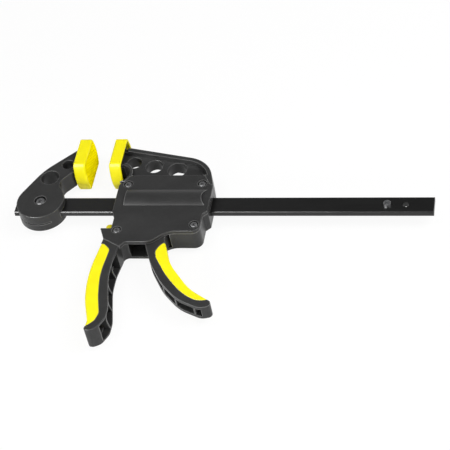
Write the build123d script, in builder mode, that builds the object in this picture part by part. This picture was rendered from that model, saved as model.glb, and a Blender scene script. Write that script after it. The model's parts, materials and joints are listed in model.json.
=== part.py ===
from build123d import *

from math import cos, radians, sin, tan
import os

# One-handed quick release bar clamp, lying on its side. Millimetres and degrees.
#
# Origin: centre of the fixed pad's clamping face. +X runs along the bar towards
# the moving jaw, +Y from the bar towards the pads, +Z up through the clamp's
# thickness, and Z = 0 is its mid-plane.
#
# Profiles are drawn in one of two frames, both with y measured up from the bar's
# centreline: jaw_side() has x = 0 on the fixed pad's clamping face, and
# housing_side() has x = 0 on the moving pad's clamping face.

# ---- Bar
bar_length = 340.0
bar_height = 17.0
bar_thickness = 5.0
bar_edge_radius = 1.5
bar_stub = 1.9  # how far the bar stands out past the fixed jaw's hub
end_hole_radius = 2.6
end_hole_inset = 22.0
stop_pin_inset = 36.5
stop_pin_radius = 3.0
stop_pin_bore = 1.7
stop_pin_proud = 1.8
stop_pin_slit = 0.8

# ---- Clearances
bar_clearance = 0.3  # round the bar in the moulded parts
fit_gap = 0.15  # between a pad and the jaw's end inside it
pin_clearance = 0.05  # running fit of the trigger on its pin

# ---- Pads
jaw_gap = 19.6  # between the clamping faces, as the clamp lies
pad_rise = 49.4  # bar centreline to pad centre
pad_half_width = 14.5
pad_flat = 31.2
pad_arch = 3.6
pad_depth = 10.4
pad_face_wall = 3.8
pad_wall = 2.0
pad_edge = 0.7
pad_groove_width = 0.8
pad_groove_depth = 0.3
pad_groove_pitch = 2.2
pad_groove_count = 18
pad_groove_angle = 38.0
flange_thickness = 2.8
neck_half = 8.0
neck_root = 1.5
fixed_neck_foot = 34.2
moving_neck_foot = 37.6
moving_neck_top = 58.6

# ---- Fixed jaw
hub_x = -32.2
hub_radius = 19.7
jaw_half = 8.0
arm_bend = (-36.9, 34.2)
arm_bend_radius = 60.0
arm_outer_angle = 63.0
arm_top = 59.8
arm_foot = 32.4
arm_heel = (-26.0, 15.4)  # inside the hub, on the arm's lower edge carried on
arm_throat_radius = 9.0
arm_end_gap = 1.0  # between the arm's end and the pad's rim
arm_big_hole = (-29.7, 26.0, 7.6)
arm_small_hole = (-17.4, 41.2, 5.1)
jaw_edge = 0.6
hole_edge = 0.4  # rounding of the lightening holes
hub_slot_width = 1.2
hub_slot_depth = 2.0
hub_slot_start = -150.0
hub_slot_sweep = 95.0
jaw_screw_radius = 2.5
jaw_screw_head_radius = 3.9
jaw_screw_head_height = 2.6
jaw_screw_head_edge = 1.0
jaw_screw_recess_radius = 4.9
jaw_screw_recess = 3.4
nut_flats = 8.0
nut_height = 4.0
nut_pocket = 4.1
socket_flats = 3.0
socket_depth = 1.6

# ---- Housing, in the housing frame
body_half = 10.0
cover_thickness = 3.0
back_wall = 2.5
moulded_edge = 0.7
housing_left = 12.1
housing_right = 90.1
jaw_top_rear = (82.9, 42.9)
jaw_top_front = (7.4, 59.7)
jaw_corner_radius = 26.0
shoulder_y = 15.0
step_y = -14.0
step_depth = 3.7
step_radius = 1.2
block_bottom = -36.1
block_corner_radius = 6.5
block_front = (61.0, 18.0)  # x of the bend, and its radius
underside = -47.5
underside_bend = (49.0, 12.0)
nose_tip_x = 6.0
nose_tip_radius = 0.6
nose_drop = 3.6  # nose top below the button's middle
nose_bottom = -44.0
nose_root_x = 15.0
nose_root_radius = 1.0
end_wall_radius = 3.0
button_wall_rise = 7.3  # end wall's upper corner above the button's middle
throat_start = (15.8, 19.0)
throat_radius = 1.0
throat_drop = 3.0
front_wall_low = 40.0
front_wall_drop = 0.9  # its upper end below the jaw's top edge
jaw_rim = 3.7
back_rim = 2.0
jaw_back_step = 1.5  # the moving jaw's back stands in from the housing's
web_half = 5.4
web_floor = 26.2
notch_centre = (8.4, 28.8)
notch_radius = 9.8
notch_lap = 1.0  # the notch's circle past the corners drawn for it
notch_band = 2.6
web_holes = ((18.5, 45.1, 6.2), (36.3, 40.7, 7.1), (56.3, 36.6, 7.8))

# ---- Cover
cover_top = ((19.2, 24.2, 1.0), (21.6, 26.2, 1.0), (81.4, 26.2, 3.0), (87.4, 15.0, 3.0))
seam = ((11.0, -44.2), (25.4, -52.6))
seam_bend_x = 28.6
seam_bend_radius = 3.0
panel_left = 20.2
panel_right = 86.3
panel_top = 9.6
panel_bottom = -8.0
panel_height = 2.1
panel_scoop_radius = 12.1
panel_scoop_depth = 3.2
upper_screws = ((19.8, 15.9), (81.1, 16.4))
nose_screw_x = 19.9
nose_screw_drop = 5.6  # below the button's middle
block_screw = (81.4, -28.5)
screw_radius = 1.5
screw_head_radius = 2.85
screw_head_height = 1.9
screw_head_edge = 0.7
screw_recess_radius = 3.75
screw_recess = 2.0
screw_length = 12.0
screw_socket_flats = 2.0
screw_socket_depth = 1.0

# ---- Mechanism chamber
chamber_left = 16.4
chamber_top = 12.2
chamber_right = 87.5
chamber_low_right = 83.6
chamber_step_y = -11.0
chamber_shelf_y = -24.6
chamber_shelf_x = 77.0
chamber_floor = -33.8
trigger_slot_left = 31.0
trigger_slot_right = 62.3
trigger_slot_depth = 5.0  # past the underside
button_bay_drop = 2.6  # below the button's middle
button_slot_rise = 6.4  # above the button's middle
button_slot_half = 5.5
button_slot_length = 12.0

# ---- Handle
handle_top_x = (10.8, 25.2)
handle_inner_root = 4.5
handle_outer_root = 3.0
handle_outer = ((5.6, -80.0, 120.0), (8.4, -106.0, 90.0), (14.9, -127.5, 12.0))
handle_tip = ((13.8, -137.3, 2.4), (18.2, -137.7, 3.0))
handle_inner = (
    (24.0, -135.2, 9.0),
    (28.7, -125.2, 10.0),
    (28.9, -115.0, 25.0),
    (22.7, -84.0, 60.0),
    (22.8, -68.0, 40.0),
)
grip_boundary = (
    (9.0, -48.6),
    (13.2, -50.2, 3.0),
    (18.4, -55.4, 5.0),
    (15.6, -82.0, 90.0),
    (19.0, -104.0, 60.0),
    (22.9, -120.5, 8.0),
    (20.9, -127.9, 8.0),
    (14.2, -134.2, 4.0),
    (11.0, -136.0),
)
palm_reach_x = 13.0  # the grip's edges left of this are the palm's
grip_thickness = 2.2
grip_edge = 1.6
channel_half = 8.4
channel_mouth = 5.6
channel_deep_half = 6.6
channel_deep = 11.6
channel_top = -58.4
channel_end = -132.4
handle_rib_first = -69.0
handle_rib_pitch = 17.0
handle_rib_count = 4
rib_thickness = 1.4
rib_hollow = 1.6

# ---- Trigger
trigger_top = ((59.0, -40.0), (62.6, -30.0), (48.0, -24.0), (42.0, -40.0))
trigger_inner = ((52.0, -66.0, 60.0), (64.0, -86.5, 60.0), (79.5, -103.0, 40.0), (98.2, -111.6, 10.0))
trigger_tip = ((106.2, -109.3, 3.4), (106.0, -104.9, 3.0))
trigger_outer = ((87.2, -92.4, 50.0), (67.4, -66.4, 60.0))
trigger_grip_boundary = (
    (61.9, -46.9),
    (59.6, -44.9, 0.8),
    (57.0, -47.4, 3.0),
    (54.0, -53.5, 5.0),
    (55.6, -60.3, 8.0),
    (67.0, -79.2, 80.0),
    (81.5, -96.2, 50.0),
    (95.5, -105.0, 16.0),
    (106.0, -102.2),
    (110.0, -80.0),
    (75.0, -43.6),
)
trigger_half = 6.4
trigger_wall = 2.0
trigger_channel_half = 3.7
trigger_pivot = (56.4, -27.0)
trigger_hub_radius = 7.4
trigger_nose = (58.4, -14.0)
trigger_nose_radius = 4.0
trigger_arm_root = 5.0
trigger_arm_half = 4.5
trigger_channel = 4.2
trigger_channel_start = -56.0
trigger_channel_end = 99.2
trigger_ribs = ((67.0, -87.0, 38.0), (77.2, -100.6, 48.0), (93.2, -110.2, 66.0))
trigger_rib_thickness = 1.6
trigger_grip_depth = 2.0
pin_radius = 2.0
pin_seat = 1.8

# ---- Drive plates and their spring
plate_thickness = 2.5
plate_half_width = 6.4
plate_corner = 2.0
plate_top = 11.6
plate_bottom = -20.5
plate_window_gap = 0.35
plate_start_gap = 0.12
drive_spring_y = -14.6
drive_spring_radius = 3.0
drive_spring_wire = 0.45
drive_spring_turns = 6

# ---- Brake plate, its spring and the release button
brake_thickness = 3.0
brake_tilt = 6.5
brake_hinge = (22.6, 11.75)
brake_length = 35.6
brake_tail = 5.4
brake_tail_half = 3.0
brake_window_gap = 0.25
brake_spring_y = -14.0
brake_spring_radius = 2.8
brake_spring_wire = 0.4
brake_spring_turns = 5
brake_seat_x = 33.0
brake_seat_thickness = 2.4
brake_seat_top = -9.4
brake_seat_bottom = -19.0
brake_spring_gap = 0.9  # the tilted plate's clearance to its spring at rest
button_half = 4.9
button_front = -9.6  # along X from the button's middle
button_back = 3.4
button_top = 4.7  # up from the button's middle
button_low = 1.3
button_brow = 2.0
button_tip_radius = 2.2
button_brow_radius = 1.6
button_heel_radius = 1.0
button_chin_radius = 2.0

# ---- Places that follow from the release button's middle, at the end of the brake plate
brake_reach = brake_length + brake_tail
button_x = brake_hinge[0] - brake_reach * sin(radians(brake_tilt))
button_y = brake_hinge[1] - brake_reach * cos(radians(brake_tilt))
nose_top = button_y - nose_drop
button_wall_top = button_y + button_wall_rise
button_bay_floor = button_y - button_bay_drop
button_slot_top = button_y + button_slot_rise
cover_screws = (*upper_screws, (nose_screw_x, button_y - nose_screw_drop), block_screw)

os.makedirs("parts", exist_ok=True)


def jaw_side(z=0.0):
    """Plane parallel to the clamp's flat side, x = 0 on the fixed pad's clamping face."""
    return Plane((0, -pad_rise, z))


def housing_side(z=0.0):
    """Plane parallel to the clamp's flat side, x = 0 on the moving pad's clamping face."""
    return Plane((jaw_gap, -pad_rise, z))


def housing_across(x):
    """Plane across the bar at x in the housing frame: local x is row Y, local y is row Z."""
    return Plane((jaw_gap + x, -pad_rise, 0), x_dir=(0, 1, 0), z_dir=(1, 0, 0))


def housing_level(y):
    """Plane across the handle at height y: local x is row X, local y is row Z."""
    return Plane((jaw_gap, y - pad_rise, 0), x_dir=(1, 0, 0), z_dir=(0, -1, 0))


def outline(*corners):
    """Closed face through corners given as (x, y) or (x, y, radius)."""
    with BuildSketch() as shape:
        with BuildLine():
            FilletPolyline(
                [corner[:2] for corner in corners],
                radius=[corner[2] if len(corner) > 2 else 0 for corner in corners],
                close=True,
            )
        make_face()
    return shape.sketch


def save(part, name):
    """Label a finished piece and write it to its own file."""
    part.label = name
    export_step(part, f"parts/{name}.step")


# ======================================================================== bar
bar_left = hub_x - hub_radius - bar_stub
bar_right = bar_left + bar_length
bar_half = bar_thickness / 2
stop_pin_x = bar_right - stop_pin_inset
end_hole_x = bar_right - end_hole_inset

with BuildPart() as bar:
    with BuildSketch(jaw_side(-bar_half)):
        with Locations((bar_left + bar_length / 2, 0)):
            Rectangle(bar_length, bar_height)
    extrude(amount=bar_thickness)
    fillet(bar.edges().filter_by(Axis.X), bar_edge_radius)
    with Locations(jaw_side(bar_half)):
        with Locations((hub_x, 0)):
            Hole(jaw_screw_radius)
        with Locations((stop_pin_x, 0)):
            Hole(stop_pin_radius)
        with Locations((end_hole_x, 0)):
            Hole(end_hole_radius)
save(bar.part, "bar")

with BuildPart() as stop_pin:
    with BuildSketch(jaw_side(-bar_half - stop_pin_proud)):
        with Locations((stop_pin_x, 0)):
            Circle(stop_pin_radius)
            Circle(stop_pin_bore, mode=Mode.SUBTRACT)
        with Locations((stop_pin_x + stop_pin_radius, 0)):
            Rectangle(2 * stop_pin_radius, stop_pin_slit, mode=Mode.SUBTRACT)
    extrude(amount=bar_thickness + 2 * stop_pin_proud)
save(stop_pin.part, "stop_pin")

# ================================================================ fixed jaw
# The outer edge leaves the hub along a tangent and bends once on its way to the pad.
outer_normal = arm_outer_angle + 90
outer_start = (
    hub_x + hub_radius * cos(radians(outer_normal)),
    hub_radius * sin(radians(outer_normal)),
)
flange_face = pad_face_wall + fit_gap
flange_back = flange_face + flange_thickness
arm_end_x = -pad_depth - arm_end_gap
pad_low = pad_rise - pad_flat / 2
pad_high = pad_rise + pad_flat / 2


def pad_outline(inset=0.0):
    """Pad section: flat sides and two shallow arched ends, shrunk by inset."""
    half = pad_half_width - inset
    low, high = pad_low, pad_high
    arch = pad_arch - inset
    with BuildSketch() as shape:
        with BuildLine():
            Line((low, -half), (high, -half))
            ThreePointArc((high, -half), (high + arch, 0), (high, half))
            Line((high, half), (low, half))
            ThreePointArc((low, half), (low - arch, 0), (low, -half))
        make_face()
    return shape.sketch


def pad_plane(clamping_x, towards):
    """Plane on a clamping face, its normal pointing back into that pad's jaw."""
    return Plane((clamping_x, -pad_rise, 0), x_dir=(0, 1, 0), z_dir=(towards, 0, 0))


def pad_holder(plane, foot, top):
    """Neck and flange at a jaw's end, which the pad on the plane is pushed over."""
    with BuildPart() as holder:
        with BuildSketch(plane.offset(flange_back)):
            with Locations(((top + foot) / 2, 0)):
                Rectangle(top - foot, 2 * neck_half)
        extrude(amount=pad_depth + neck_root - flange_back)
        with BuildSketch(plane.offset(flange_face)):
            add(pad_outline(pad_wall + fit_gap))
        extrude(amount=flange_thickness)
    return holder.part


def hole_rims(builder, radius):
    """Both rims of a round hole of that radius through the clamp's thickness."""
    rims = builder.edges().filter_by(GeomType.CIRCLE).filter_by(lambda e: e.length > 5 * radius)
    return rims.filter_by(lambda e: abs(e.radius - radius) < fit_gap)


fixed_pad_plane = pad_plane(0, -1)
moving_pad_plane = pad_plane(jaw_gap, 1)

with BuildSketch() as arm_outline:
    with Locations((hub_x, 0)):
        Circle(hub_radius)
    add(
        outline(
            outer_start,
            (*arm_bend, arm_bend_radius),
            (arm_end_x, arm_top),
            (arm_end_x, arm_foot),
            arm_heel,
            (hub_x, 0),
        )
    )
    throat_corner = arm_outline.vertices().sort_by_distance((*arm_heel, 0))[0]
    fillet(throat_corner, arm_throat_radius)

with BuildPart() as fixed_jaw:
    with BuildSketch(jaw_side(-jaw_half)):
        add(arm_outline.sketch)
    extrude(amount=2 * jaw_half)
    rims = fixed_jaw.faces().filter_by(Axis.Z).edges().filter_by(lambda e: e.length > 5)
    fillet(rims, jaw_edge)
    add(pad_holder(fixed_pad_plane, fixed_neck_foot, arm_top))
    # Slot for the bar.
    with BuildSketch(jaw_side(-bar_half - bar_clearance)):
        with Locations((bar_left + bar_length / 2, 0)):
            Rectangle(bar_length, bar_height + 2 * bar_clearance)
    extrude(amount=bar_thickness + 2 * bar_clearance, mode=Mode.SUBTRACT)
    # Lightening holes.
    for x, y, radius in (arm_big_hole, arm_small_hole):
        with Locations(jaw_side(jaw_half)):
            with Locations((x, y)):
                Hole(radius)
        fillet(hole_rims(fixed_jaw, radius), hole_edge)
    # Screw hole, recess for its head and hexagon pocket for the nut.
    with Locations(jaw_side(jaw_half)):
        with Locations((hub_x, 0)):
            CounterBoreHole(jaw_screw_radius, jaw_screw_recess_radius, jaw_screw_recess)
    with BuildSketch(jaw_side(-jaw_half)):
        with Locations((hub_x, 0)):
            RegularPolygon(nut_flats / 2 + fit_gap, 6, major_radius=False)
    extrude(amount=nut_pocket, mode=Mode.SUBTRACT)
    # Narrow slot round the lower side of the hub.
    with BuildSketch(jaw_side(-hub_slot_width)):
        with BuildLine():
            slot_arc = CenterArc((hub_x, 0), hub_radius + 1, hub_slot_start, hub_slot_sweep)
            inner_arc = CenterArc(
                (hub_x, 0), hub_radius - hub_slot_depth, hub_slot_start, hub_slot_sweep
            )
            Line(slot_arc @ 0, inner_arc @ 0)
            Line(slot_arc @ 1, inner_arc @ 1)
        make_face()
    extrude(amount=hub_slot_width, mode=Mode.SUBTRACT)
save(fixed_jaw.part, "fixed_jaw")

with BuildPart() as fixed_jaw_screw:
    head_floor = jaw_half - jaw_screw_recess
    with BuildSketch(jaw_side(head_floor)):
        with Locations((hub_x, 0)):
            Circle(jaw_screw_head_radius)
    extrude(amount=jaw_screw_head_height)
    fillet(fixed_jaw_screw.edges().sort_by(Axis.Z)[-1], jaw_screw_head_edge)
    with BuildSketch(jaw_side(head_floor + jaw_screw_head_height)):
        with Locations((hub_x, 0)):
            RegularPolygon(socket_flats / 2, 6, major_radius=False)
    extrude(amount=-socket_depth, mode=Mode.SUBTRACT)
    with BuildSketch(jaw_side(-jaw_half + fit_gap)):
        with Locations((hub_x, 0)):
            Circle(jaw_screw_radius)
    extrude(amount=head_floor + jaw_half - fit_gap)
save(fixed_jaw_screw.part, "fixed_jaw_screw")

with BuildPart() as fixed_jaw_nut:
    with BuildSketch(jaw_side(-jaw_half + nut_pocket - nut_height)):
        with Locations((hub_x, 0)):
            RegularPolygon(nut_flats / 2, 6, major_radius=False)
            Circle(jaw_screw_radius, mode=Mode.SUBTRACT)
    extrude(amount=nut_height)
save(fixed_jaw_nut.part, "fixed_jaw_nut")


# ====================================================================== pads
def pad_cup(plane):
    """Soft cup with diagonal grooves on its clamping face, which lies on the plane."""
    with BuildPart() as cup:
        with BuildSketch(plane):
            add(pad_outline())
        extrude(amount=pad_depth)
        fillet(cup.edges(), pad_edge)
        with BuildSketch(plane.offset(pad_face_wall)):
            add(pad_outline(pad_wall))
        extrude(amount=pad_depth, mode=Mode.SUBTRACT)
        with BuildSketch(plane):
            with Locations(Location((pad_rise, 0, 0), (0, 0, pad_groove_angle))):
                with GridLocations(0, pad_groove_pitch, 1, pad_groove_count):
                    Rectangle(3 * pad_half_width, pad_groove_width)
            add(pad_outline(2 * pad_edge), mode=Mode.INTERSECT)
        extrude(amount=pad_groove_depth, mode=Mode.SUBTRACT)
    return cup.part


save(pad_cup(fixed_pad_plane), "fixed_pad")
save(pad_cup(moving_pad_plane), "moving_pad")

# =================================================================== housing
block_right = housing_right - step_depth
jaw_front_x = pad_depth + neck_root - fit_gap
# The edge shared by the shell and its cover: the right side, the block, the underside ...
lower_right_corners = (
    (housing_right, step_y, step_radius),
    (block_right, step_y - step_depth),
    (block_right, block_bottom, block_corner_radius),
    (block_front[0], block_bottom, block_front[1]),
    (underside_bend[0], underside, underside_bend[1]),
)
# ... and the nose and the end wall below the bar.
nose_corners = (
    (handle_top_x[0], nose_bottom),
    (nose_tip_x, nose_top, nose_tip_radius),
    (nose_root_x, nose_top, nose_root_radius),
    (nose_root_x, button_wall_top, end_wall_radius),
    (housing_left, step_y, end_wall_radius),
)
throat_corners = ((housing_left, throat_start[1] - throat_drop, throat_radius), throat_start)
shell_outline = outline(
    *throat_corners,
    (notch_centre[0], notch_centre[1] - notch_radius + notch_lap),
    (notch_centre[0], notch_centre[1] + notch_radius - notch_lap),
    (jaw_front_x, front_wall_low),
    (jaw_front_x, jaw_top_front[1] - front_wall_drop),
    (*jaw_top_rear, jaw_corner_radius),
    (housing_right, shoulder_y),
    *lower_right_corners,
    (handle_top_x[1], underside),
    *nose_corners,
)
handle_outline = outline(
    (handle_top_x[0], nose_bottom),
    *handle_outer,
    *handle_tip,
    *handle_inner,
    (handle_top_x[1], underside - trigger_slot_depth),
    (handle_top_x[1], underside),
)
with BuildSketch() as body_outline:
    add(shell_outline)
    add(handle_outline)
    for corner, radius in (
        ((handle_top_x[1], underside, 0), handle_inner_root),
        ((handle_top_x[0], nose_bottom, 0), handle_outer_root),
    ):
        fillet(body_outline.vertices().sort_by_distance(corner)[0], radius)
    with Locations(notch_centre):
        Circle(notch_radius, mode=Mode.SUBTRACT)
cover_outline = outline(
    *throat_corners,
    *cover_top,
    (housing_right, shoulder_y),
    *lower_right_corners,
    (seam_bend_x, underside, seam_bend_radius),
    seam[1],
    seam[0],
    *nose_corners,
)
chamber_outline = outline(
    (chamber_left, chamber_top),
    (chamber_right, chamber_top),
    (chamber_right, chamber_step_y),
    (chamber_low_right, chamber_step_y),
    (chamber_low_right, chamber_shelf_y),
    (chamber_shelf_x, chamber_shelf_y),
    (chamber_shelf_x, chamber_floor),
    (trigger_slot_right, chamber_floor),
    (trigger_slot_right, underside - trigger_slot_depth),
    (trigger_slot_left, underside - trigger_slot_depth),
    (trigger_slot_left, button_bay_floor),
    (chamber_left, button_bay_floor),
)
# The recessed web follows the jaw's outer edge at the rim's width.
web_outline = outline(
    (jaw_front_x - 2 * jaw_rim, jaw_top_front[1]),
    (*jaw_top_rear, jaw_corner_radius),
    (housing_right, shoulder_y),
    (jaw_front_x - 2 * jaw_rim, shoulder_y),
)
grip_zone = outline(*grip_boundary, (0.0, grip_boundary[-1][1]), (0.0, grip_boundary[0][1]))

with BuildSketch() as grip_face:
    add(handle_outline)
    add(grip_zone, mode=Mode.INTERSECT)
with BuildSketch() as grip_core:
    add(handle_outline)
    add(handle_outline.moved(Location((grip_thickness, 0, 0))), mode=Mode.INTERSECT)
    add(grip_zone, mode=Mode.INTERSECT)


def side_channel(width, source, direction):
    """Band of the given width along one side of a closed outline."""
    with BuildSketch() as band:
        add(source)
        add(source.moved(Location(direction)), mode=Mode.SUBTRACT)
    return band.sketch


def right_edge(source, y):
    """Largest x of a closed outline at height y."""
    with BuildSketch() as strip:
        add(source)
        with Locations((housing_right, y)):
            Rectangle(2 * housing_right, rib_thickness, mode=Mode.INTERSECT)
    return strip.sketch.bounding_box().max.X


def on_back_step(edge):
    """True for the two long edges of the step across the back of the housing."""
    return edge.geom_type == GeomType.LINE and abs(edge.center().Y + pad_rise - web_floor) < fit_gap


handle_rib_rows = [handle_rib_first - row * handle_rib_pitch for row in range(handle_rib_count)]

with BuildPart() as housing_body:
    with BuildSketch(housing_side(-body_half)):
        add(body_outline.sketch)
    extrude(amount=2 * body_half)
    fillet(housing_body.faces().filter_by(Axis.Z).edges(), moulded_edge)
    # The moving jaw's back stands in from the housing's.
    with BuildSketch(housing_side(-body_half)):
        with Locations((0, web_floor)):
            Rectangle(housing_right, housing_right, align=Align.MIN)
    extrude(amount=jaw_back_step, mode=Mode.SUBTRACT)
    jaw_back = housing_body.faces().filter_by_position(
        Axis.Z, jaw_back_step - body_half, jaw_back_step - body_half
    )
    fillet(jaw_back.edges().filter_by(lambda e: not on_back_step(e)), moulded_edge)
    add(pad_holder(moving_pad_plane, moving_neck_foot, moving_neck_top))
    # Seat of the cover.
    with BuildSketch(housing_side(body_half - cover_thickness)):
        add(cover_outline)
    extrude(amount=cover_thickness, mode=Mode.SUBTRACT)
    # Recessed web of the jaw, from both sides.
    for face_z, rim in ((body_half, jaw_rim), (jaw_back_step - body_half, back_rim)):
        with BuildSketch(housing_side(face_z)):
            offset(web_outline, -rim, kind=Kind.INTERSECTION)
            with Locations((0, web_floor)):
                Rectangle(housing_right, housing_right, align=Align.MIN, mode=Mode.INTERSECT)
            with Locations(notch_centre):
                Circle(notch_radius + notch_band, mode=Mode.SUBTRACT)
        side = 1 if face_z > 0 else -1
        extrude(amount=side * web_half - face_z, mode=Mode.SUBTRACT)
    # Three round holes through the web.
    for x, y, radius in web_holes:
        with Locations(housing_side(body_half)):
            with Locations((x, y)):
                Hole(radius)
        fillet(hole_rims(housing_body, radius), hole_edge)
    # Chamber and its lower opening.
    with BuildSketch(housing_side(-body_half + back_wall)):
        add(chamber_outline)
    extrude(amount=2 * body_half - back_wall, mode=Mode.SUBTRACT)
    # Way out of the release button.
    with BuildSketch(housing_side(-button_slot_half)):
        with Locations((chamber_left, (button_slot_top + button_bay_floor) / 2)):
            Rectangle(button_slot_length, button_slot_top - button_bay_floor)
    extrude(amount=2 * button_slot_half, mode=Mode.SUBTRACT)
    # Tunnel for the bar through both end walls.
    with BuildSketch(housing_side(-bar_half - bar_clearance)):
        with Locations((housing_right / 2, 0)):
            Rectangle(2 * housing_right, bar_height + 2 * bar_clearance)
    extrude(amount=bar_thickness + 2 * bar_clearance, mode=Mode.SUBTRACT)
    # Seat of the brake spring.
    with BuildSketch(housing_side(-body_half + back_wall)):
        with Locations((brake_seat_x, (brake_seat_top + brake_seat_bottom) / 2)):
            Rectangle(brake_seat_thickness, brake_seat_top - brake_seat_bottom)
    extrude(amount=2 * body_half - back_wall - cover_thickness)
    # Handle: seat of the grip, hollow towards the trigger, and cross ribs.
    with BuildSketch(housing_side(-body_half)):
        add(grip_face.sketch)
    extrude(amount=2 * body_half, mode=Mode.SUBTRACT)
    with BuildSketch(housing_side(-body_half + grip_thickness)):
        add(grip_core.sketch)
    extrude(amount=2 * (body_half - grip_thickness))
    for half, width in ((channel_half, channel_mouth), (channel_deep_half, channel_deep)):
        with BuildSketch(housing_side(-half)):
            add(side_channel(width, handle_outline, (-width, 0, 0)))
            with Locations((0, (channel_top + channel_end) / 2)):
                Rectangle(2 * housing_right, channel_top - channel_end, mode=Mode.INTERSECT)
            with Locations(*[(0, y) for y in handle_rib_rows]):
                Rectangle(2 * housing_right, rib_thickness, mode=Mode.SUBTRACT)
        extrude(amount=2 * half, mode=Mode.SUBTRACT)
    # The ribs' free edges are hollowed between the walls.
    for y in handle_rib_rows:
        with BuildSketch(housing_level(y)):
            edge_x = right_edge(handle_outline, y)
            with BuildLine():
                hollow = ThreePointArc(
                    (edge_x, -channel_half), (edge_x - rib_hollow, 0), (edge_x, channel_half)
                )
                Polyline(
                    hollow @ 0,
                    (edge_x + rib_hollow, -channel_half),
                    (edge_x + rib_hollow, channel_half),
                    hollow @ 1,
                )
            make_face()
        extrude(amount=rib_thickness, both=True, mode=Mode.SUBTRACT)
    # Pilot holes of the cover screws and the seat of the trigger pin.
    with Locations(housing_side(body_half - cover_thickness)):
        with Locations(*cover_screws):
            Hole(screw_radius, depth=screw_length - screw_recess)
    with BuildSketch(housing_side(-body_half + back_wall - pin_seat)):
        with Locations(trigger_pivot):
            Circle(pin_radius)
    extrude(amount=pin_seat, mode=Mode.SUBTRACT)
save(housing_body.part, "housing_body")

with BuildPart() as housing_cover:
    with BuildSketch(housing_side(body_half - cover_thickness)):
        add(cover_outline)
    extrude(amount=cover_thickness)
    fillet(housing_cover.faces().sort_by(Axis.Z)[-1].edges(), moulded_edge)
    # Raised panel over the bar with a rounded section and a scooped right end.
    panel_middle = (panel_top + panel_bottom) / 2
    with BuildSketch(housing_across(panel_left)):
        with BuildLine():
            panel_arc = ThreePointArc(
                (panel_bottom, body_half),
                (panel_middle, body_half + panel_height),
                (panel_top, body_half),
            )
            Line(panel_arc @ 1, panel_arc @ 0)
        make_face()
    extrude(amount=panel_right - panel_left)
    with BuildSketch(housing_side(body_half)):
        with Locations((panel_right + panel_scoop_radius - panel_scoop_depth, panel_middle)):
            Circle(panel_scoop_radius)
    extrude(amount=2 * panel_height, mode=Mode.SUBTRACT)
    with Locations(housing_side(body_half)):
        with Locations(*cover_screws):
            CounterBoreHole(screw_radius, screw_recess_radius, screw_recess)
    with BuildSketch(housing_side(body_half - cover_thickness)):
        with Locations(trigger_pivot):
            Circle(pin_radius)
    extrude(amount=pin_seat, mode=Mode.SUBTRACT)
save(housing_cover.part, "housing_cover")

with BuildPart() as housing_screws:
    head_floor = body_half - screw_recess
    for x, y in cover_screws:
        with BuildSketch(housing_side(head_floor)):
            with Locations((x, y)):
                Circle(screw_head_radius)
        extrude(amount=screw_head_height)
        with BuildSketch(housing_side(head_floor)):
            with Locations((x, y)):
                Circle(screw_radius)
        extrude(amount=-(screw_length - screw_head_height))
    fillet(housing_screws.edges().group_by(Axis.Z)[-1], screw_head_edge)
    for x, y in cover_screws:
        with BuildSketch(housing_side(head_floor + screw_head_height)):
            with Locations((x, y)):
                RegularPolygon(screw_socket_flats / 2, 6, major_radius=False)
        extrude(amount=-screw_socket_depth, mode=Mode.SUBTRACT)
save(housing_screws.part, "housing_screws")

with BuildPart() as handle_grip:
    with BuildSketch(housing_side(-body_half)):
        add(grip_face.sketch)
    extrude(amount=2 * body_half)
    palm_edges = handle_grip.faces().filter_by(Axis.Z).edges()
    palm_edges = palm_edges.filter_by(
        lambda e: e.length > channel_half and e.center().X < jaw_gap + palm_reach_x
    )
    fillet(palm_edges, grip_edge)
    with BuildSketch(housing_side(-body_half + grip_thickness)):
        add(grip_core.sketch)
    extrude(amount=2 * (body_half - grip_thickness), mode=Mode.SUBTRACT)
save(handle_grip.part, "handle_grip")

# =================================================================== trigger
trigger_outline = outline(*trigger_top, *trigger_inner, *trigger_tip, *trigger_outer)
trigger_grip_zone = outline(*trigger_grip_boundary)
with BuildSketch() as trigger_grip_face:
    add(trigger_outline)
    add(trigger_grip_zone, mode=Mode.INTERSECT)
with BuildSketch() as trigger_grip_core:
    add(trigger_outline)
    add(
        trigger_outline.moved(Location((-trigger_grip_depth, -trigger_grip_depth, 0))),
        mode=Mode.INTERSECT,
    )
    add(trigger_grip_zone, mode=Mode.INTERSECT)

trigger_core_half = trigger_half - trigger_wall
with BuildPart() as trigger:
    with BuildSketch(housing_side(-trigger_half)):
        add(trigger_outline)
        with Locations(trigger_pivot):
            Circle(trigger_hub_radius)
    extrude(amount=2 * trigger_half)
    # Upper arm with a round nose that pushes the drive plates.
    with BuildSketch(housing_side(-trigger_arm_half)):
        with Locations(trigger_pivot):
            Circle(trigger_arm_root)
        with Locations(trigger_nose):
            Circle(trigger_nose_radius)
        make_hull()
    extrude(amount=2 * trigger_arm_half)
    # Seat of the grip.
    with BuildSketch(housing_side(-trigger_half)):
        add(trigger_grip_face.sketch)
    extrude(amount=2 * trigger_half, mode=Mode.SUBTRACT)
    with BuildSketch(housing_side(-trigger_core_half)):
        add(trigger_grip_core.sketch)
    extrude(amount=2 * trigger_core_half)
    # Hollow towards the handle with cross ribs.
    with BuildSketch(housing_side(-trigger_channel_half)):
        add(side_channel(trigger_channel, trigger_outline, (trigger_channel, trigger_channel, 0)))
        with Locations((trigger_channel_end, trigger_channel_start)):
            Rectangle(
                trigger_channel_end, trigger_channel_end, align=Align.MAX, mode=Mode.INTERSECT
            )
        for x, y, angle in trigger_ribs:
            with Locations(Location((x, y, 0), (0, 0, angle))):
                Rectangle(4 * trigger_channel, trigger_rib_thickness, mode=Mode.SUBTRACT)
    extrude(amount=2 * trigger_channel_half, mode=Mode.SUBTRACT)
    with Locations(housing_side(trigger_half)):
        with Locations(trigger_pivot):
            Hole(pin_radius + pin_clearance)
save(trigger.part, "trigger")

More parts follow.
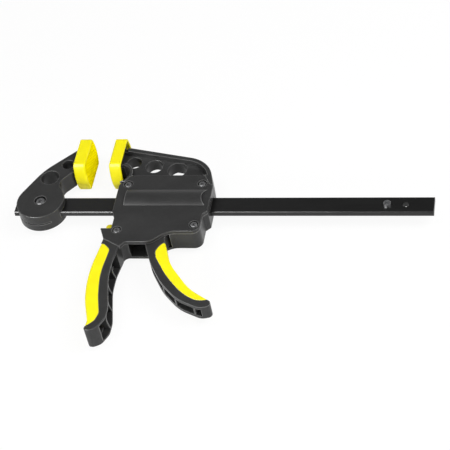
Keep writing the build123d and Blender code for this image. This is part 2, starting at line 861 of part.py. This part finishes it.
with BuildPart() as trigger_grip:
    with BuildSketch(housing_side(-trigger_half)):
        add(trigger_grip_face.sketch)
    extrude(amount=2 * trigger_half)
    with BuildSketch(housing_side(-trigger_core_half)):
        add(trigger_grip_core.sketch)
    extrude(amount=2 * trigger_core_half, mode=Mode.SUBTRACT)
save(trigger_grip.part, "trigger_grip")

pin_low = -body_half + back_wall - pin_seat
pin_high = body_half - cover_thickness + pin_seat
with BuildPart() as trigger_pin:
    with BuildSketch(housing_side(pin_low)):
        with Locations(trigger_pivot):
            Circle(pin_radius)
    extrude(amount=pin_high - pin_low)
save(trigger_pin.part, "trigger_pin")

# ============================================================== drive plates
drive_start = trigger_nose[0] + trigger_nose_radius + plate_start_gap


def drive_plate(left):
    """Steel plate with a window that slides on the bar."""
    with BuildPart() as plate:
        with BuildSketch(housing_across(left)):
            with Locations(((plate_top + plate_bottom) / 2, 0)):
                RectangleRounded(plate_top - plate_bottom, 2 * plate_half_width, plate_corner)
            Rectangle(
                bar_height + 2 * plate_window_gap,
                bar_thickness + 2 * plate_window_gap,
                mode=Mode.SUBTRACT,
            )
        extrude(amount=plate_thickness)
    return plate.part


save(drive_plate(drive_start), "drive_plate_1")
save(drive_plate(drive_start + plate_thickness), "drive_plate_2")


def coil_spring(start_x, end_x, y, radius, wire, turns):
    """Compression spring along X between two faces, at height y above the bar's centreline."""
    length = end_x - start_x - 2 * wire
    start = (jaw_gap + start_x + wire, y - pad_rise, 0)
    with BuildPart() as spring:
        with BuildLine():
            coil = Helix(length / turns, length, radius, center=start, direction=(1, 0, 0))
        with BuildSketch(Plane(coil @ 0, z_dir=coil % 0)):
            Circle(wire)
        sweep()
    return spring.part


spring_start = drive_start + 2 * plate_thickness
save(
    coil_spring(
        spring_start,
        chamber_low_right,
        drive_spring_y,
        drive_spring_radius,
        drive_spring_wire,
        drive_spring_turns,
    ),
    "drive_spring",
)

# =============================================================== brake plate
# The plate's plane runs down from its hinge; local x is the distance from the hinge.
brake_plane = Plane(
    (jaw_gap + brake_hinge[0], brake_hinge[1] - pad_rise, 0),
    x_dir=(-sin(radians(brake_tilt)), -cos(radians(brake_tilt)), 0),
    z_dir=(cos(radians(brake_tilt)), -sin(radians(brake_tilt)), 0),
)
# The window clears the tilted bar section on both faces of the plate.
brake_window = (
    bar_height / cos(radians(brake_tilt))
    + brake_thickness * tan(radians(brake_tilt))
    + 2 * brake_window_gap
)
with BuildPart() as brake_plate:
    with BuildSketch(brake_plane.offset(-brake_thickness / 2)):
        with Locations((brake_length / 2, 0)):
            Rectangle(brake_length, 2 * plate_half_width)
        with Locations((brake_length + brake_tail / 2, 0)):
            Rectangle(brake_tail, 2 * brake_tail_half)
        with Locations((brake_hinge[1] / cos(radians(brake_tilt)), 0)):
            Rectangle(
                brake_window, bar_thickness + 2 * plate_window_gap, mode=Mode.SUBTRACT
            )
    extrude(amount=brake_thickness)
save(brake_plate.part, "brake_plate")

brake_spring_start = (
    brake_hinge[0]
    - (brake_hinge[1] - brake_spring_y + brake_spring_radius) * tan(radians(brake_tilt))
    + brake_thickness / 2
    + brake_spring_gap
)
save(
    coil_spring(
        brake_spring_start,
        brake_seat_x - brake_seat_thickness / 2,
        brake_spring_y,
        brake_spring_radius,
        brake_spring_wire,
        brake_spring_turns,
    ),
    "brake_spring",
)

button_outline = outline(
    (button_x + button_front, button_y + button_top / 2, button_tip_radius),
    (button_x + button_front + button_brow, button_y + button_top, button_brow_radius),
    (button_x + button_back, button_y + button_top),
    (button_x + button_back, button_y - button_low, button_heel_radius),
    (button_x + button_front + button_brow, button_y - button_low, button_chin_radius),
)
with BuildPart() as release_button:
    with BuildSketch(housing_side(-button_half)):
        add(button_outline)
    extrude(amount=2 * button_half)
    # Pocket that the plate's tail is pressed into.
    with BuildSketch(brake_plane.offset(-brake_thickness / 2)):
        with Locations((brake_length + brake_tail / 2, 0)):
            Rectangle(brake_tail, 2 * brake_tail_half)
    extrude(amount=brake_thickness, mode=Mode.SUBTRACT)
save(release_button.part, "release_button")
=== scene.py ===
"""One-handed quick release bar clamp: materials, soft pads and grips, studio light and camera."""

import json
from math import cos, pi, radians, sin

import bmesh
import bpy
from mathutils import Matrix, Vector


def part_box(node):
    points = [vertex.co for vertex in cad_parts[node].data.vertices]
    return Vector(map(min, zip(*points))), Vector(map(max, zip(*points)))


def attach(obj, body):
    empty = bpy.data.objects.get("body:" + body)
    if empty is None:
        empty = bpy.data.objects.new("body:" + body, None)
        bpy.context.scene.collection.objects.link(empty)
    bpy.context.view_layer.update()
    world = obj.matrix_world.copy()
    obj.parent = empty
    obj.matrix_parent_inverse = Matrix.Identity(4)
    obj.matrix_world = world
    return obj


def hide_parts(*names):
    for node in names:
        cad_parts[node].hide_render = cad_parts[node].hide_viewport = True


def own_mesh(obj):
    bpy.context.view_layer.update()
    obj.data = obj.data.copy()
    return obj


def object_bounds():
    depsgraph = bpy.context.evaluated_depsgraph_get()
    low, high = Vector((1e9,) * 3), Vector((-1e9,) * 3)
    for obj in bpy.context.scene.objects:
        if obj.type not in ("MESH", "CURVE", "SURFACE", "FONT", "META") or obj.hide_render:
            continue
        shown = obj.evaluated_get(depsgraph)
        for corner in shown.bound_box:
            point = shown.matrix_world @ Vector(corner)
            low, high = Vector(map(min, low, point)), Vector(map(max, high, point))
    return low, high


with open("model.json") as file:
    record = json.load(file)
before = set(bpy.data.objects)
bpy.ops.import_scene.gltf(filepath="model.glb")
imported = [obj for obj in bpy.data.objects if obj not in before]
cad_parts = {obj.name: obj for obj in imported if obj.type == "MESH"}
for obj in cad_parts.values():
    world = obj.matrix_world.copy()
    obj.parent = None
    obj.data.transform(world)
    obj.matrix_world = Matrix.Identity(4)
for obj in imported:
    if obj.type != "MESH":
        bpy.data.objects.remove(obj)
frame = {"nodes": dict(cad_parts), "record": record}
cad_box = [list(corner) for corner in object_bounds()]
nodes = frame["nodes"]
MM = 0.001
EDGE_SAMPLES = 8  # rays that look for an edge at each point


# ------------------------------------------------------------------ materials
class Nodes:
    """Short calls for building one node tree."""

    def __init__(self, tree):
        self.tree = tree

    def add(self, kind, **inputs):
        node = self.tree.nodes.new(kind)
        for socket, value in inputs.items():
            self.feed(node.inputs[socket], value)
        return node

    def feed(self, socket, value):
        if isinstance(value, bpy.types.NodeSocket):
            self.tree.links.new(value, socket)
        else:
            socket.default_value = value

    def maths(self, operation, first, second):
        node = self.add("ShaderNodeMath")
        node.operation = operation
        self.feed(node.inputs[0], first)
        self.feed(node.inputs[1], second)
        return node.outputs[0]

    def spread(self, value, low, high, start=0.3, end=0.7):
        """Maps a pattern, taken between start and end, to low and high."""
        node = self.add("ShaderNodeMapRange", Value=value)
        for socket, number in (("From Min", start), ("From Max", end), ("To Min", low), ("To Max", high)):
            self.feed(node.inputs[socket], number)
        return node.outputs["Result"]

    def seen(self):
        """1 for the rays of the camera, of mirrors and of glass, and 0 for the rest."""
        path = self.add("ShaderNodeLightPath").outputs
        direct = self.maths("MAXIMUM", path["Is Camera Ray"], path["Is Glossy Ray"])
        return self.maths("MAXIMUM", direct, path["Is Transmission Ray"])

    def mix_shaders(self, factor, first, second, output):
        mix = self.add("ShaderNodeMixShader")
        for socket, value in zip(mix.inputs, (factor, first, second)):
            self.feed(socket, value)
        self.tree.links.new(mix.outputs[0], self.tree.nodes[output].inputs["Surface"])


class Surface(Nodes):
    """A Principled material with short calls for the patterns that vary it."""

    def __init__(self, name, **sockets):
        self.material = bpy.data.materials.new(name)
        self.material.use_nodes = True
        super().__init__(self.material.node_tree)
        self.shader = self.tree.nodes["Principled BSDF"]
        for socket, value in sockets.items():
            self.shader.inputs[socket.replace("_", " ").title().replace("Ior", "IOR")].default_value = value
        self.place = self.add("ShaderNodeTexCoord").outputs["Object"]

    def stretched(self, scale):
        """Object coordinates in which one unit is one grain of the given sizes in millimetres."""
        mapping = self.add("ShaderNodeMapping", Vector=self.place)
        mapping.inputs["Scale"].default_value = [1 / (size * MM) for size in scale]
        return mapping.outputs["Vector"]

    def noise(self, scale, detail=2.0, roughness=0.5):
        node = self.add("ShaderNodeTexNoise", Vector=self.stretched(scale))
        node.inputs["Scale"].default_value = 1.0
        node.inputs["Detail"].default_value = detail
        node.inputs["Roughness"].default_value = roughness
        return node.outputs["Fac"]

    def edges(self, reach, most):
        """Painted highlight and wear: up to most within reach millimetres of an outward edge, and 0
        elsewhere.
        """
        node = self.add("ShaderNodeAmbientOcclusion", Distance=reach * MM)
        node.inside = True
        node.only_local = True
        node.samples = EDGE_SAMPLES
        return self.spread(node.outputs["AO"], most, 0.0, 0.5, 0.95)

    def blend(self, factor, low, high):
        """The colour low where factor is 0, and high where it is 1."""
        node = self.add("ShaderNodeMix")
        node.data_type = "RGBA"
        for number, value in ((0, factor), (6, low), (7, high)):  # the colour mix's own sockets
            self.feed(node.inputs[number], value)
        return node.outputs[2]

    def bumps(self, *layers):
        """Stacks (pattern, height in millimetres) layers of relief."""
        normal = None
        for pattern, height in layers:
            node = self.add("ShaderNodeBump", Height=pattern)
            node.inputs["Distance"].default_value = height * MM
            node.inputs["Strength"].default_value = 1.0
            if normal is not None:
                self.tree.links.new(normal, node.inputs["Normal"])
            normal = node.outputs["Normal"]
        self.tree.links.new(normal, self.shader.inputs["Normal"])

    def colour(self, value):
        self.feed(self.shader.inputs["Base Color"], value)

    def rough(self, value):
        self.feed(self.shader.inputs["Roughness"], value)


def rgb(red, green, blue):
    """A colour written as it shows on a screen, 0 to 255, for a shader."""
    def linear(part):
        part /= 255
        return part / 12.92 if part <= 0.04045 else ((part + 0.055) / 1.055) ** 2.4
    return (linear(red), linear(green), linear(blue), 1.0)


def black_plastic():
    s = Surface("black_plastic", specular_ior_level=0.25)
    flow = s.noise((26, 14, 14), 3.0)
    mottle = s.noise((1.8, 1.8, 1.8), 2.0)
    tone = s.blend(s.spread(flow, 0, 1), rgb(41, 41, 41), rgb(48, 48, 48))
    tone = s.blend(s.spread(mottle, 0.0, 0.36, 0.2, 0.8), tone, rgb(57, 57, 57))
    # The outward edges are painted paler, rgb(128, 128, 127): a painted edge highlight together with edge
    # wear.
    s.colour(s.blend(s.edges(0.8, 0.6), tone, rgb(128, 128, 127)))
    s.rough(s.spread(flow, 0.28, 0.36))
    s.bumps((s.noise((0.5, 0.5, 0.5), 2.0, 0.6), 0.010), (s.noise((11, 11, 11), 1.0), 0.03))
    return s.material


def rubber(name, gloss, smoothest, low, high, groove=None):
    """Soft yellow rubber; with groove, a darker colour painted into the grooves between ribs as painted
    shade.
    """
    s = Surface(name, specular_ior_level=gloss)
    tone = s.blend(s.spread(s.noise((11, 11, 11), 2.0), 0, 1), low, high)
    if groove is not None:
        # Painted shade: the deeper a point lies in a groove, the more of the groove colour it gets.
        depth = s.add("ShaderNodeAttribute")
        depth.attribute_name = "rib"
        tone = s.blend(depth.outputs["Fac"], tone, groove)
    s.colour(tone)
    s.rough(s.spread(s.noise((1.6, 1.6, 1.6), 2.0), smoothest, smoothest + 0.12))
    s.bumps((s.noise((0.30, 0.30, 0.30), 2.0, 0.6), 0.008), (s.noise((6, 6, 6), 1.0), 0.03))
    return s.material


def yellow_rubber():
    return rubber("yellow_rubber", 0.25, 0.34, rgb(239, 227, 5), rgb(244, 233, 12))


def ribbed_rubber():
    # The third colour, rgb(240, 215, 3), is painted shade for the grooves between the ribs.
    return rubber("ribbed_rubber", 0.0, 0.7, rgb(246, 234, 5), rgb(249, 240, 9), rgb(240, 215, 3))


def yellow_plastic():
    s = Surface("yellow_plastic", specular_ior_level=0.5)
    cloud = s.noise((5, 5, 5), 2.0)
    s.colour(s.blend(s.spread(cloud, 0, 1), rgb(236, 218, 6), rgb(246, 230, 18)))
    s.rough(s.spread(cloud, 0.30, 0.38))
    s.bumps((s.noise((0.5, 0.5, 0.5), 2.0), 0.006))
    return s.material


def bar_steel():
    s = Surface("bar_steel", metallic=0.2, specular_ior_level=0.5)
    streaks = s.noise((42, 0.5, 0.5), 3.0, 0.6)
    patches = s.noise((30, 9, 9), 3.0)
    tone = s.blend(s.spread(patches, 0, 1), rgb(17, 17, 17), rgb(22, 22, 22))
    s.colour(s.blend(s.spread(streaks, 0.0, 0.3), tone, rgb(32, 32, 32)))
    s.rough(s.spread(streaks, 0.28, 0.34))
    s.bumps((streaks, 0.0008), (s.noise((0.7, 0.7, 0.7), 2.0), 0.0005))
    return s.material


def black_screws():
    s = Surface("black_screws", metallic=0.7, specular_ior_level=0.5)
    wear = s.noise((0.9, 0.9, 0.9), 3.0)
    s.colour(s.blend(s.spread(wear, 0, 1), rgb(72, 72, 73), rgb(112, 112, 113)))
    s.rough(s.spread(wear, 0.42, 0.54))
    s.bumps((s.noise((0.25, 0.25, 0.25), 2.0), 0.006))
    return s.material


def plain_steel():
    s = Surface("plain_steel", metallic=1.0)
    grain = s.noise((0.4, 7, 0.4), 3.0, 0.6)
    s.colour(s.blend(s.spread(grain, 0, 1), rgb(150, 150, 152), rgb(186, 187, 189)))
    s.rough(s.spread(grain, 0.28, 0.42))
    s.bumps((grain, 0.008))
    return s.material


finishes = {make.__name__: make() for make in (
    black_plastic, yellow_rubber, ribbed_rubber, yellow_plastic, bar_steel, black_screws, plain_steel
)}


def dress(piece, *names):
    """Gives a piece its finishes. A piece without any keeps the numbers that its faces have."""
    if piece.data.materials:
        piece.data.materials.clear()
    for name in names:
        piece.data.materials.append(finishes[name])


for row in frame["record"]["subparts"]:
    dress(nodes[row["node"]], row["material_slot"])


# ----------------------------------------------------------------- soft pads
PAD_HALF_WIDTH = 14.5 * MM
PAD_FLAT = 31.2 * MM
PAD_ARCH = 3.6 * MM
PAD_DEPTH = 10.4 * MM
PAD_WALL = 2.0 * MM
PAD_FACE_WALL = 3.8 * MM
PAD_EDGE = 1.5 * MM
PAD_CROWN = 0.3 * MM  # how far the clamping face falls back towards its borders
PAD_CORNER = 2.0 * MM
PAD_LEAST_CORNER = 0.3 * MM
PAD_LIP = PAD_WALL * 0.4
PAD_GRID = 150, 190  # faces across and along the clamping face
ROUND_STEPS = 4
OUTER_RINGS = 3.0, 4.5, 6.0, 8.0  # depths in millimetres
INNER_RINGS = 8.0, 6.0, 4.6
BOTTOM_RINGS = 4.0, 7.0, 10.0  # insets in millimetres
RIB_PITCH = 2.2 * MM
RIB_DEPTH = 0.25 * MM
RIB_FADE = 0.9 * MM  # how far from the clamping face's borders a groove gets its full depth
RIB_ANGLE = radians(31)
RIB_GROOVE = 0.28  # half the groove, as a share of the pitch


def pad_end(width):
    """How far the outline's arched end is from the pad's middle, at a place across it."""
    radius = (PAD_HALF_WIDTH ** 2 + PAD_ARCH ** 2) / (2 * PAD_ARCH)
    return PAD_FLAT / 2 + PAD_ARCH - radius + (radius ** 2 - width ** 2) ** 0.5


def rib_wave(y, z):
    """0 on a rib's crest and 1 in the groove between two ribs."""
    across = y * sin(RIB_ANGLE) + z * cos(RIB_ANGLE)
    phase = (across / RIB_PITCH) % 1.0
    return smooth(1 - abs(phase - 0.5) / RIB_GROOVE)


def smooth(share):
    """An even rise from 0 to 1 with flat ends."""
    share = min(max(share, 0.0), 1.0)
    return share * share * (3 - 2 * share)


def rounded(y, z, inset):
    """The place moved onto the rounded corner of the outline, where it lies in one."""
    corner = max(PAD_CORNER - inset, PAD_LEAST_CORNER)
    over_z = corner - (PAD_HALF_WIDTH - inset - abs(z))
    over_y = corner - (pad_end(z) - inset - abs(y))
    reach = (over_y ** 2 + over_z ** 2) ** 0.5
    if over_y <= 0 or over_z <= 0 or reach <= corner:
        return y, z
    shrink = 1 - corner / reach
    y -= over_y * shrink * (1 if y > 0 else -1)
    z -= over_z * shrink * (1 if z > 0 else -1)
    return y, z


def pad_mesh(name, clamping_x, towards):
    """A soft cup: ribbed clamping face, rounded rim, thin wall and open back."""
    columns, rows = PAD_GRID
    mesh = bmesh.new()
    # Each vertex keeps how deep in a groove it lies; the material paints shade into the grooves from it.
    groove_shade_mask = mesh.verts.layers.float_color.new("rib")

    def vertex(depth, y, z, groove=0.0):
        point = mesh.verts.new((clamping_x + towards * depth, y, z))
        point[groove_shade_mask] = (groove, groove, groove, 1.0)
        return point

    grid = []
    for row in range(rows + 1):
        along = 2 * row / rows - 1
        line = []
        for column in range(columns + 1):
            across = 2 * column / columns - 1
            z = PAD_HALF_WIDTH * across * (1 - PAD_EDGE / PAD_HALF_WIDTH)
            reach = pad_end(z) - PAD_EDGE
            y = reach * along
            margin = min(PAD_HALF_WIDTH - PAD_EDGE - abs(z), reach - abs(y))
            groove = rib_wave(y, -towards * z) * smooth(margin / RIB_FADE)
            crown = PAD_CROWN * (1 - (1 - across ** 2) * (1 - along ** 2))
            line.append(vertex(crown + RIB_DEPTH * groove, *rounded(y, z, PAD_EDGE), groove))
        grid.append(line)
    for line, following in zip(grid, grid[1:]):
        for column in range(columns):
            corners = line[column], line[column + 1], following[column + 1], following[column]
            mesh.faces.new(corners).material_index = 1  # the ribbed finish

    border = (
        [(0, column) for column in range(columns)]
        + [(row, columns) for row in range(rows)]
        + [(rows, columns - column) for column in range(columns)]
        + [(rows - row, 0) for row in range(rows)]
    )
    inner = [grid[row][column] for row, column in border]

    def ring(depth, inset):
        """The outline moved inwards, with a vertex for each one round the clamping face."""
        made = []
        for row, column in border:
            z = (PAD_HALF_WIDTH - inset) * (2 * column / columns - 1)
            y = (pad_end(z) - inset) * (2 * row / rows - 1)
            made.append(vertex(depth, *rounded(y, z, inset)))
        return made

    def join(one, two):
        for index in range(len(one)):
            after = (index + 1) % len(one)
            mesh.faces.new((one[index], two[index], two[after], one[after]))
        return two

    turns = [pi / 2 * step / ROUND_STEPS for step in range(ROUND_STEPS + 1)]
    last = inner
    for turn in turns[1:]:
        last = join(last, ring(PAD_CROWN + PAD_EDGE * (1 - cos(turn)), PAD_EDGE * (1 - sin(turn))))
    for depth in OUTER_RINGS:
        last = join(last, ring(depth * MM, 0.0))
    for turn in turns:
        last = join(last, ring(PAD_DEPTH - PAD_LIP * (1 - sin(turn)), PAD_LIP * (1 - cos(turn))))
    for turn in turns[1:]:
        depth = PAD_DEPTH - PAD_LIP * (1 - cos(turn))
        last = join(last, ring(depth, PAD_WALL - PAD_LIP * (1 - sin(turn))))
    for depth in INNER_RINGS:
        last = join(last, ring(depth * MM, PAD_WALL))
    last = join(last, ring(PAD_FACE_WALL, PAD_WALL))
    for inset in BOTTOM_RINGS:
        last = join(last, ring(PAD_FACE_WALL, inset * MM))
    mesh.faces.new(last)
    bmesh.ops.recalc_face_normals(mesh, faces=mesh.faces)
    return finish_mesh(mesh, name)


def finish_mesh(mesh, name):
    """Makes a smooth-shaded object of the mesh and puts it in the scene."""
    for face in mesh.faces:
        face.smooth = True
    data = bpy.data.meshes.new(name)
    mesh.to_mesh(data)
    mesh.free()
    piece = bpy.data.objects.new(name, data)
    bpy.context.scene.collection.objects.link(piece)
    return piece


for node, body in (("fixed_pad", "bar_frame"), ("moving_pad", "housing")):
    low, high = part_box(node)
    towards = -1 if node == "fixed_pad" else 1
    pad = pad_mesh("soft_" + node, high[0] if towards < 0 else low[0], towards)
    dress(pad, "yellow_rubber", "ribbed_rubber")
    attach(pad, body)
    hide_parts(node)


# ------------------------------------------------------- soft grips, springs
GRIP_VOXEL = 0.35 * MM
GRIP_SMOOTHING = 4


def copy_of(node, prefix, body, finish):
    """A piece with the node's own mesh, which stands for the node."""
    source = nodes[node]
    piece = bpy.data.objects.new(prefix + node, source.data.copy())
    bpy.context.scene.collection.objects.link(piece)
    piece.data.transform(source.matrix_world)
    dress(piece, finish)
    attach(piece, body)
    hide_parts(node)
    return piece


def soft_grip(node, body):
    """The moulded soft insert: a close mesh with softened edges."""
    piece = copy_of(node, "soft_", body, "yellow_rubber")
    remesh = piece.modifiers.new("remesh", "REMESH")
    remesh.mode = "VOXEL"
    remesh.voxel_size = GRIP_VOXEL
    remesh.use_smooth_shade = True
    soften = piece.modifiers.new("soften", "SMOOTH")
    soften.factor = 0.5
    soften.iterations = GRIP_SMOOTHING


def pressed_spring(node):
    """A coil spring, copied from the node onto a mesh of its own."""
    piece = copy_of(node, "coil_", "housing", "plain_steel")
    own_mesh(piece)


soft_grip("handle_grip", "housing")
soft_grip("trigger_grip", "trigger")
pressed_spring("drive_spring")
pressed_spring("brake_spring")


# --------------------------------------------------------- camera and light
# The photograph's lens and place.
camera_data = bpy.data.cameras.new("camera")
camera_data.sensor_width = 36.0
camera_data.lens = 130.26
camera_data.clip_start = 0.05
camera = bpy.data.objects.new("camera", camera_data)
bpy.context.scene.collection.objects.link(camera)
camera.matrix_world = Matrix((
    (0.97731, -0.00117, 0.21179, 0.3946),
    (0.14640, 0.72635, -0.67155, -0.9301),
    (-0.15305, 0.68732, 0.71004, 0.9101),
    (0, 0, 0, 1),
))
bpy.context.scene.camera = camera

FLOOR_HALF_SIZE = 6.0
FLOOR_SHINE = 0.92  # share of plain white that the eye sees on the floor; the rest keeps the shadow
floor_mesh = bmesh.new()
bmesh.ops.create_grid(floor_mesh, x_segments=1, y_segments=1, size=FLOOR_HALF_SIZE)
bmesh.ops.translate(floor_mesh, verts=floor_mesh.verts, vec=(0, 0, cad_box[0][2]))
floor = finish_mesh(floor_mesh, "floor")
floor_finish = Surface(
    "floor", roughness=0.9, specular_ior_level=0.1, base_color=(0.9, 0.9, 0.9, 1)
)
floor_glow = floor_finish.add("ShaderNodeEmission").outputs[0]
floor_finish.mix_shaders(
    floor_finish.maths("MULTIPLY", floor_finish.seen(), FLOOR_SHINE),
    floor_finish.shader.outputs[0], floor_glow, "Material Output",
)
floor.data.materials.append(floor_finish.material)

# The studio is white near the horizon. Its ceiling is dim, and dimmer towards the right.
AMBIENT_LIGHT = 0.27
world = bpy.data.worlds.new("studio")
bpy.context.scene.world = world
world.use_nodes = True
studio = Nodes(world.node_tree)
ambient = world.node_tree.nodes["Background"]
ambient.inputs["Color"].default_value = (1, 1, 1, 1)
ambient.inputs["Strength"].default_value = AMBIENT_LIGHT
towards = studio.add(
    "ShaderNodeSeparateXYZ", Vector=studio.add("ShaderNodeTexCoord").outputs["Generated"]
).outputs
ceiling = studio.spread(towards["X"], 0.42, 0.03, -0.35, -0.10)
strength = studio.spread(towards["Z"], 1.0, ceiling, 0.15, 0.45)
view = studio.add("ShaderNodeBackground", Color=(1, 1, 1, 1), Strength=strength)
studio.mix_shaders(studio.seen(), ambient.outputs[0], view.outputs[0], "World Output")


OBJECT_MIDDLE = Vector((0.06, -0.05, 0))


def softbox(name, place, width, height, glow, diffuse=True, glossy=True):
    """A soft lamp aimed at the object, whose face shines at glow times plain white."""
    data = bpy.data.lights.new(name, "AREA")
    data.shape = "RECTANGLE"
    data.size = width
    data.size_y = height
    data.energy = glow * pi * width * height
    lamp = bpy.data.objects.new(name, data)
    bpy.context.scene.collection.objects.link(lamp)
    lamp.location = place
    lamp.rotation_euler = (OBJECT_MIDDLE - Vector(place)).to_track_quat("-Z", "Y").to_euler()
    lamp.visible_camera = False
    lamp.visible_diffuse = diffuse
    lamp.visible_glossy = glossy


# Three lamps light the object. The other two show only in its gloss, along its edges.
softbox("overhead", (-0.20, -0.20, 1.05), 0.40, 0.30, 8.0, glossy=False)
softbox("front", (-0.12, -1.00, 0.32), 0.80, 0.28, 9.5, glossy=False)
softbox("right", (0.78, -0.12, 0.78), 0.60, 0.60, 7.0)
softbox("high_edge", (-0.50, -0.56, 0.96), 0.75, 0.58, 34.0, diffuse=False)
softbox("low_edge", (-0.42, -0.96, 0.30), 0.34, 0.28, 16.0, diffuse=False)

bpy.context.scene.view_settings.view_transform = "Standard"
